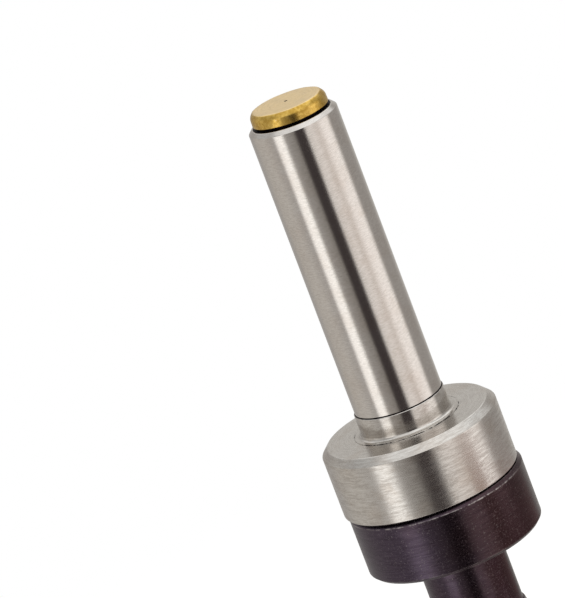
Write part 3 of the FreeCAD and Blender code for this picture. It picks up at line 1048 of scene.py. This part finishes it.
@dataclass
class ContactEnd:
    """Bright contact end: lapped flange, collar, flared neck and spigot, and the sleeve pressed on it."""

    flange_length: float = 7.9
    top_chamfer: float = 0.8
    low_chamfer: float = 0.27
    neck_radius: float = 5.13
    neck_length: float = 2.72
    neck_chamfer: float = 0.13
    flare_radius: float = 0.43
    collar_rim: float = 0.44
    collar_step: float = 0.05
    spring_bore: float = 2.7
    bore_lead: float = 0.3
    spigot_radius: float = 3.6
    spigot_chamfer: float = 0.3
    sleeve_top_chamfer: float = 0.44
    sleeve_low_chamfer: float = 0.06

    FLARE_POINTS = 14

    def flare(self, collar_top: float) -> list[Corner]:
        """Return the hollow quarter round between the collar and the neck.

        The centre is a flare radius out from the neck and up from the collar. The radius there is the
        centre's less the flare radius times the cosine of the angle, and the height is the centre's less the
        flare radius times its sine.
        """
        angles = np.linspace(0.0, math.pi / 2, self.FLARE_POINTS)
        radii = self.neck_radius + self.flare_radius * (1.0 - np.cos(angles))
        heights = collar_top + self.flare_radius * (1.0 - np.sin(angles))
        return [Corner(float(r), float(z)) for r, z in zip(radii, heights)]

    def head(self) -> TurnedPiece:
        """Return the surface of the flange, neck and spigot."""
        axis, flange, face, spigot_top = span_of("contact_head")
        top = face + self.flange_length
        collar_top = top + self.collar_step
        neck_top = top + self.neck_length
        collar = self.neck_radius + self.flare_radius + self.collar_rim
        return TurnedPiece("contact_end", [
            Corner(self.spring_bore + self.bore_lead, face, 0.03),
            Corner(self.spring_bore, face + self.bore_lead, 0.04),
            Corner(self.spring_bore, spigot_top, 0.04),
            Corner(self.spigot_radius - self.spigot_chamfer, spigot_top, 0.04),
            Corner(self.spigot_radius, spigot_top - self.spigot_chamfer, 0.04),
            Corner(self.spigot_radius, neck_top),
            # Painted shade at the seam where the sleeve sits on the neck.
            Corner(self.neck_radius - self.neck_chamfer, neck_top, 0.02, shade_and_grime=1.0, shade_and_grime_reach=0.06),
            Corner(self.neck_radius, neck_top - self.neck_chamfer, 0.03, shade_and_grime=0.3, shade_and_grime_reach=0.06),
            *self.flare(collar_top),
            Corner(collar, collar_top, 0.02),
            # Painted shade in the corner between the collar and the flange's top.
            Corner(collar, top, shade_and_grime=0.55, shade_and_grime_reach=0.05),
            Corner(flange - self.top_chamfer, top, 0.06),
            Corner(flange, top - self.top_chamfer, 0.06),
            Corner(flange, face + self.low_chamfer, 0.05),
            # Painted shade on the lower chamfer, in the gap over the blackened flange.
            Corner(flange - self.low_chamfer, face, 0.04, shade_and_grime=1.0, shade_and_grime_reach=0.25),
        ], axis_x=axis)

    def sleeve(self) -> TurnedPiece:
        """Return the measuring sleeve's surface."""
        axis, outer, seat, top = span_of("measuring_sleeve")
        return TurnedPiece("sleeve", [
            Corner(self.spigot_radius, seat),
            # Painted shade on the end face under the button and, fainter, on the top chamfer with a little
            # dirt.
            Corner(self.spigot_radius, top, 0.03, shade_and_grime=1.0, shade_and_grime_reach=0.8),
            Corner(outer - self.sleeve_top_chamfer, top, 0.06, shade_and_grime=0.22, shade_and_grime_reach=0.3),
            Corner(outer, top - self.sleeve_top_chamfer, 0.07, shade_and_grime=0.12, shade_and_grime_reach=0.3),
            Corner(outer, seat + self.sleeve_low_chamfer, 0.02),
            # Painted shade at the seam over the neck.
            Corner(outer - self.sleeve_low_chamfer, seat, 0.02, shade_and_grime=1.0, shade_and_grime_reach=0.05),
        ], axis_x=axis)

    def build(self) -> None:
        """Build and dress the contact end and its sleeve."""
        axis = span_of("contact_head")[0]
        turned = TurnedSteel(
            name="brushed_head_steel",
            axis_x=axis * MM,
            dark=(0.5, 0.47, 0.44),
            light=(0.7, 0.68, 0.65),
            roughness=(0.15, 0.3),
            marks=(6.0, 5200.0),
            mark_depth=0.008 * MM,
            wave=2.2,
            hollow_depth=0.03 * MM,
            stain=(0.86, 0.8, 0.75),
            stain_amount=0.5,
            polished_radius=6.1 * MM,
        )
        mount(self.head().build(), "contact_head", Body.HEAD, turned.material())
        ground = TurnedSteel(
            name="ground_sleeve_steel",
            axis_x=axis * MM,
            dark=(0.59, 0.56, 0.53),
            light=(0.72, 0.69, 0.66),
            roughness=(0.1, 0.17),
            marks=(9.0, 11000.0),
            mark_depth=0.004 * MM,
            wave=0.8,
            hollow_depth=0.02 * MM,
            stain=(0.88, 0.83, 0.79),
            stain_amount=0.4,
        )
        mount(self.sleeve().build(), "measuring_sleeve", Body.HEAD, ground.material())


# --------------------------------------------------------------------------------------------------- studio


@dataclass(frozen=True)
class Panel:
    """Place on the light tent's wall.

    Attributes:
        bearing: Direction from the tool, in degrees to the right of the front.
        light: How bright and of what colour the wall is there.
    """

    bearing: float
    light: Colour


@dataclass(frozen=True)
class Card:
    """Low card that stands round part of the tool and shows only in its metal.

    Attributes:
        bearings: Directions of its two ends, in degrees to the right of the front.
        distance: How far it stands from the tool's axis, in metres.
        height: Its height, in metres.
        light: How bright and of what colour it is.
    """

    bearings: tuple[float, float]
    distance: float
    height: float
    light: Colour

    POINTS = 25

    def build(self, name: str) -> None:
        """Stand the card up.

        Along its curve x is the distance times the sine of the bearing, and y is less the distance times its
        cosine.
        """
        angle = np.radians(np.linspace(*self.bearings, self.POINTS))
        foot = np.stack([np.sin(angle), -np.cos(angle), np.zeros_like(angle)], axis=1) * self.distance
        rows = np.concatenate([foot, foot + (0.0, 0.0, self.height)])
        start = np.arange(len(angle) - 1)
        faces = np.stack([start, start + 1, start + 1 + len(angle), start + len(angle)], axis=1)
        card = put(name, new_mesh(name, rows, faces.tolist(), smooth=False))
        bench = NodeBench.on_material(name)
        card.data.materials.append(bench.surface(bench.glow(self.light)))
        card.visible_camera = False
        card.visible_diffuse = False
        card.visible_shadow = False


@dataclass
class LightTent:
    """Soft studio light: a pale tent with lit and shaded panels, a graded ceiling, cards and a floor.

    Attributes:
        ceiling: Brightness across the ceiling, by the X of the direction from the tool.
        ceiling_from: Z of the direction at which the walls start to turn into the ceiling.
        ceiling_to: Z of the direction at which they have turned into it.
        floor_colour: Colour of the floor.
        floor_radius: Its radius, in metres.
        floor_near: Distance within which it is lit as it is, in metres.
        floor_far: Distance beyond which the camera sees it white, in metres.
        floor_sides: Straight sides round it.
        lamp_height: Height of the lamp, in metres.
        lamp_size: Its side, in metres.
        lamp_power: Its power, in watts.
        panels: The walls' panels, from one full turn's start to its end.
        cards: The low cards.
    """

    ceiling: list[tuple[float, float]] = field(default_factory=lambda: [
        (-0.75, 0.55), (-0.56, 0.58), (-0.48, 0.98), (0.0, 0.98), (0.2, 1.2), (0.62, 1.2), (0.72, 0.72),
    ])
    ceiling_from: float = 0.3
    ceiling_to: float = 0.6
    floor_colour: Colour = (0.86, 0.86, 0.85)
    floor_radius: float = 3.0
    floor_near: float = 0.05
    floor_far: float = 0.16
    floor_sides: int = 96
    lamp_height: float = 0.5
    lamp_size: float = 0.4
    lamp_power: float = 1.2
    panels: list[Panel] = field(default_factory=lambda: [
        Panel(-180.0, (0.6, 0.58, 0.55)),
        Panel(-170.0, (0.46, 0.44, 0.42)),
        Panel(-146.0, (0.45, 0.43, 0.41)),
        Panel(-125.0, (0.57, 0.54, 0.5)),
        Panel(-95.0, (0.62, 0.59, 0.55)),
        Panel(-66.0, (0.5, 0.48, 0.46)),
        Panel(-58.0, (1.35, 1.32, 1.28)),
        Panel(-42.0, (1.42, 1.4, 1.36)),
        Panel(-34.0, (0.44, 0.42, 0.4)),
        Panel(-10.0, (0.29, 0.27, 0.25)),
        Panel(-6.0, (0.06, 0.05, 0.05)),
        Panel(16.0, (0.06, 0.05, 0.05)),
        Panel(22.0, (0.9, 0.86, 0.82)),
        Panel(36.0, (0.98, 0.92, 0.88)),
        Panel(50.0, (0.85, 0.78, 0.73)),
        Panel(66.0, (1.2, 1.14, 1.1)),
        Panel(86.0, (1.2, 1.15, 1.11)),
        Panel(97.0, (0.4, 0.38, 0.36)),
        Panel(140.0, (0.4, 0.38, 0.36)),
        Panel(160.0, (0.55, 0.53, 0.5)),
        Panel(180.0, (0.6, 0.58, 0.55)),
    ])
    cards: list[Card] = field(default_factory=lambda: [
        Card((48.0, 66.0), 0.075, 0.0295, (0.42, 0.31, 0.27)),
        Card((66.0, 135.0), 0.076, 0.0195, (0.42, 0.28, 0.27)),
    ])

    def world(self) -> None:
        """Light the scene by direction: panels round the walls, a ceiling above, white to the camera."""
        world = bpy.data.worlds.new("light_tent")
        bpy.context.scene.world = world
        bench = NodeBench(world)
        right, back, up = bench.parts(bench.add("ShaderNodeTexCoord").outputs["Generated"])
        bearing = bench.math("ARCTAN2", right, bench.times(back, -1.0))
        share = bench.plus(bench.math("DIVIDE", bearing, 2 * math.pi), 0.5)
        walls = bench.ramp(share, [(panel.bearing / 360.0 + 0.5, panel.light) for panel in self.panels])
        across = bench.plus(bench.times(right, 0.5), 0.5)
        above = bench.ramp(across, [(x / 2 + 0.5, (grey, grey, grey * 0.99)) for x, grey in self.ceiling])
        room = bench.mix(bench.remap(up, self.ceiling_from, self.ceiling_to), walls, above)
        light = bench.mix(bench.seen(), room, WHITE)
        background = bench.add("ShaderNodeBackground", {"Color": light, "Strength": 1.0})
        bench.add("ShaderNodeOutputWorld", {"Surface": background.outputs[0]})

    def floor(self) -> None:
        """Lay a round pale floor that takes the tool's shadow near its foot and runs out to white."""
        angle = circle(self.floor_sides)
        rim = np.stack([np.cos(angle), np.sin(angle), np.zeros_like(angle)], axis=1) * self.floor_radius
        floor = put("floor", new_mesh("floor", rim, [list(range(len(rim)))], smooth=False))
        floor.visible_glossy = False
        floor.data.materials.append(self.floor_material())

    def floor_material(self) -> bpy.types.Material:
        """Return the floor's finish: matt card near the tool, and white to the camera far off."""
        bench = NodeBench.on_material("pale_card")
        place = bench.add("ShaderNodeTexCoord").outputs["Object"]
        far = bench.remap(bench.vector("LENGTH", place)["Value"], self.floor_near, self.floor_far)
        card = bench.add("ShaderNodeBsdfDiffuse", {"Color": opaque(self.floor_colour)}).outputs[0]
        inputs = {0: bench.times(far, bench.seen()), 1: card, 2: bench.glow(WHITE)}
        return bench.surface(bench.add("ShaderNodeMixShader", inputs).outputs[0])

    def lamp(self) -> None:
        """Hang a soft lamp over the tool."""
        light = bpy.data.lights.new("overhead", "AREA")
        light.size = self.lamp_size
        light.energy = self.lamp_power
        lamp = put("overhead", light)
        lamp.location = (0.0, 0.0, self.lamp_height)
        lamp.visible_camera = False
        lamp.visible_glossy = False

    def build(self) -> None:
        """Put up the tent, the floor, the lamp and the cards."""
        self.world()
        self.floor()
        self.lamp()
        for index, card in enumerate(self.cards):
            card.build(f"card_{index}")
        LOG.info("studio is lit")


@dataclass
class Viewpoint:
    """Camera that looks down on the tool from the front, leaning to one side.

    Attributes:
        distance: How far the camera stands in front of the shank's axis, in millimetres.
        height: Its height over the floor, in millimetres.
        turn: Degrees it turns to the right.
        tilt: Degrees it looks down.
        lean: Degrees it leans to the left.
        focal_length: Focal length in millimetres.
        sensor_width: Width of the sensor in millimetres.
    """

    distance: float = 518.61
    height: float = 215.12
    turn: float = -0.906
    tilt: float = 15.615
    lean: float = -20.932
    focal_length: float = 301.3
    sensor_width: float = 36.0

    NEAREST = 0.01

    def build(self) -> None:
        """Set up the scene's camera."""
        data = bpy.data.cameras.new("camera")
        data.lens = self.focal_length
        data.sensor_width = self.sensor_width
        data.clip_start = self.NEAREST
        camera = put("camera", data)
        heading = Matrix.Rotation(math.radians(-self.turn), 4, "Z")
        pitch = Matrix.Rotation(math.radians(90.0 - self.tilt), 4, "X")
        roll = Matrix.Rotation(math.radians(self.lean), 4, "Z")
        place = Matrix.Translation((0.0, -self.distance * MM, self.height * MM))
        camera.matrix_world = place @ heading @ pitch @ roll
        bpy.context.scene.camera = camera


def main() -> None:
    """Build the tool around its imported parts, light it and aim the camera."""
    logging.basicConfig(level=logging.INFO, format="%(name)s: %(message)s")
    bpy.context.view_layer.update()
    bpy.context.scene.view_settings.view_transform = "Standard"
    for part in (Viewpoint(), LightTent(), Shank(), Spring(), ContactEnd(), Button()):
        LOG.info("building %s", type(part).__name__)
        part.build()


if __name__ == "__main__":
    main()
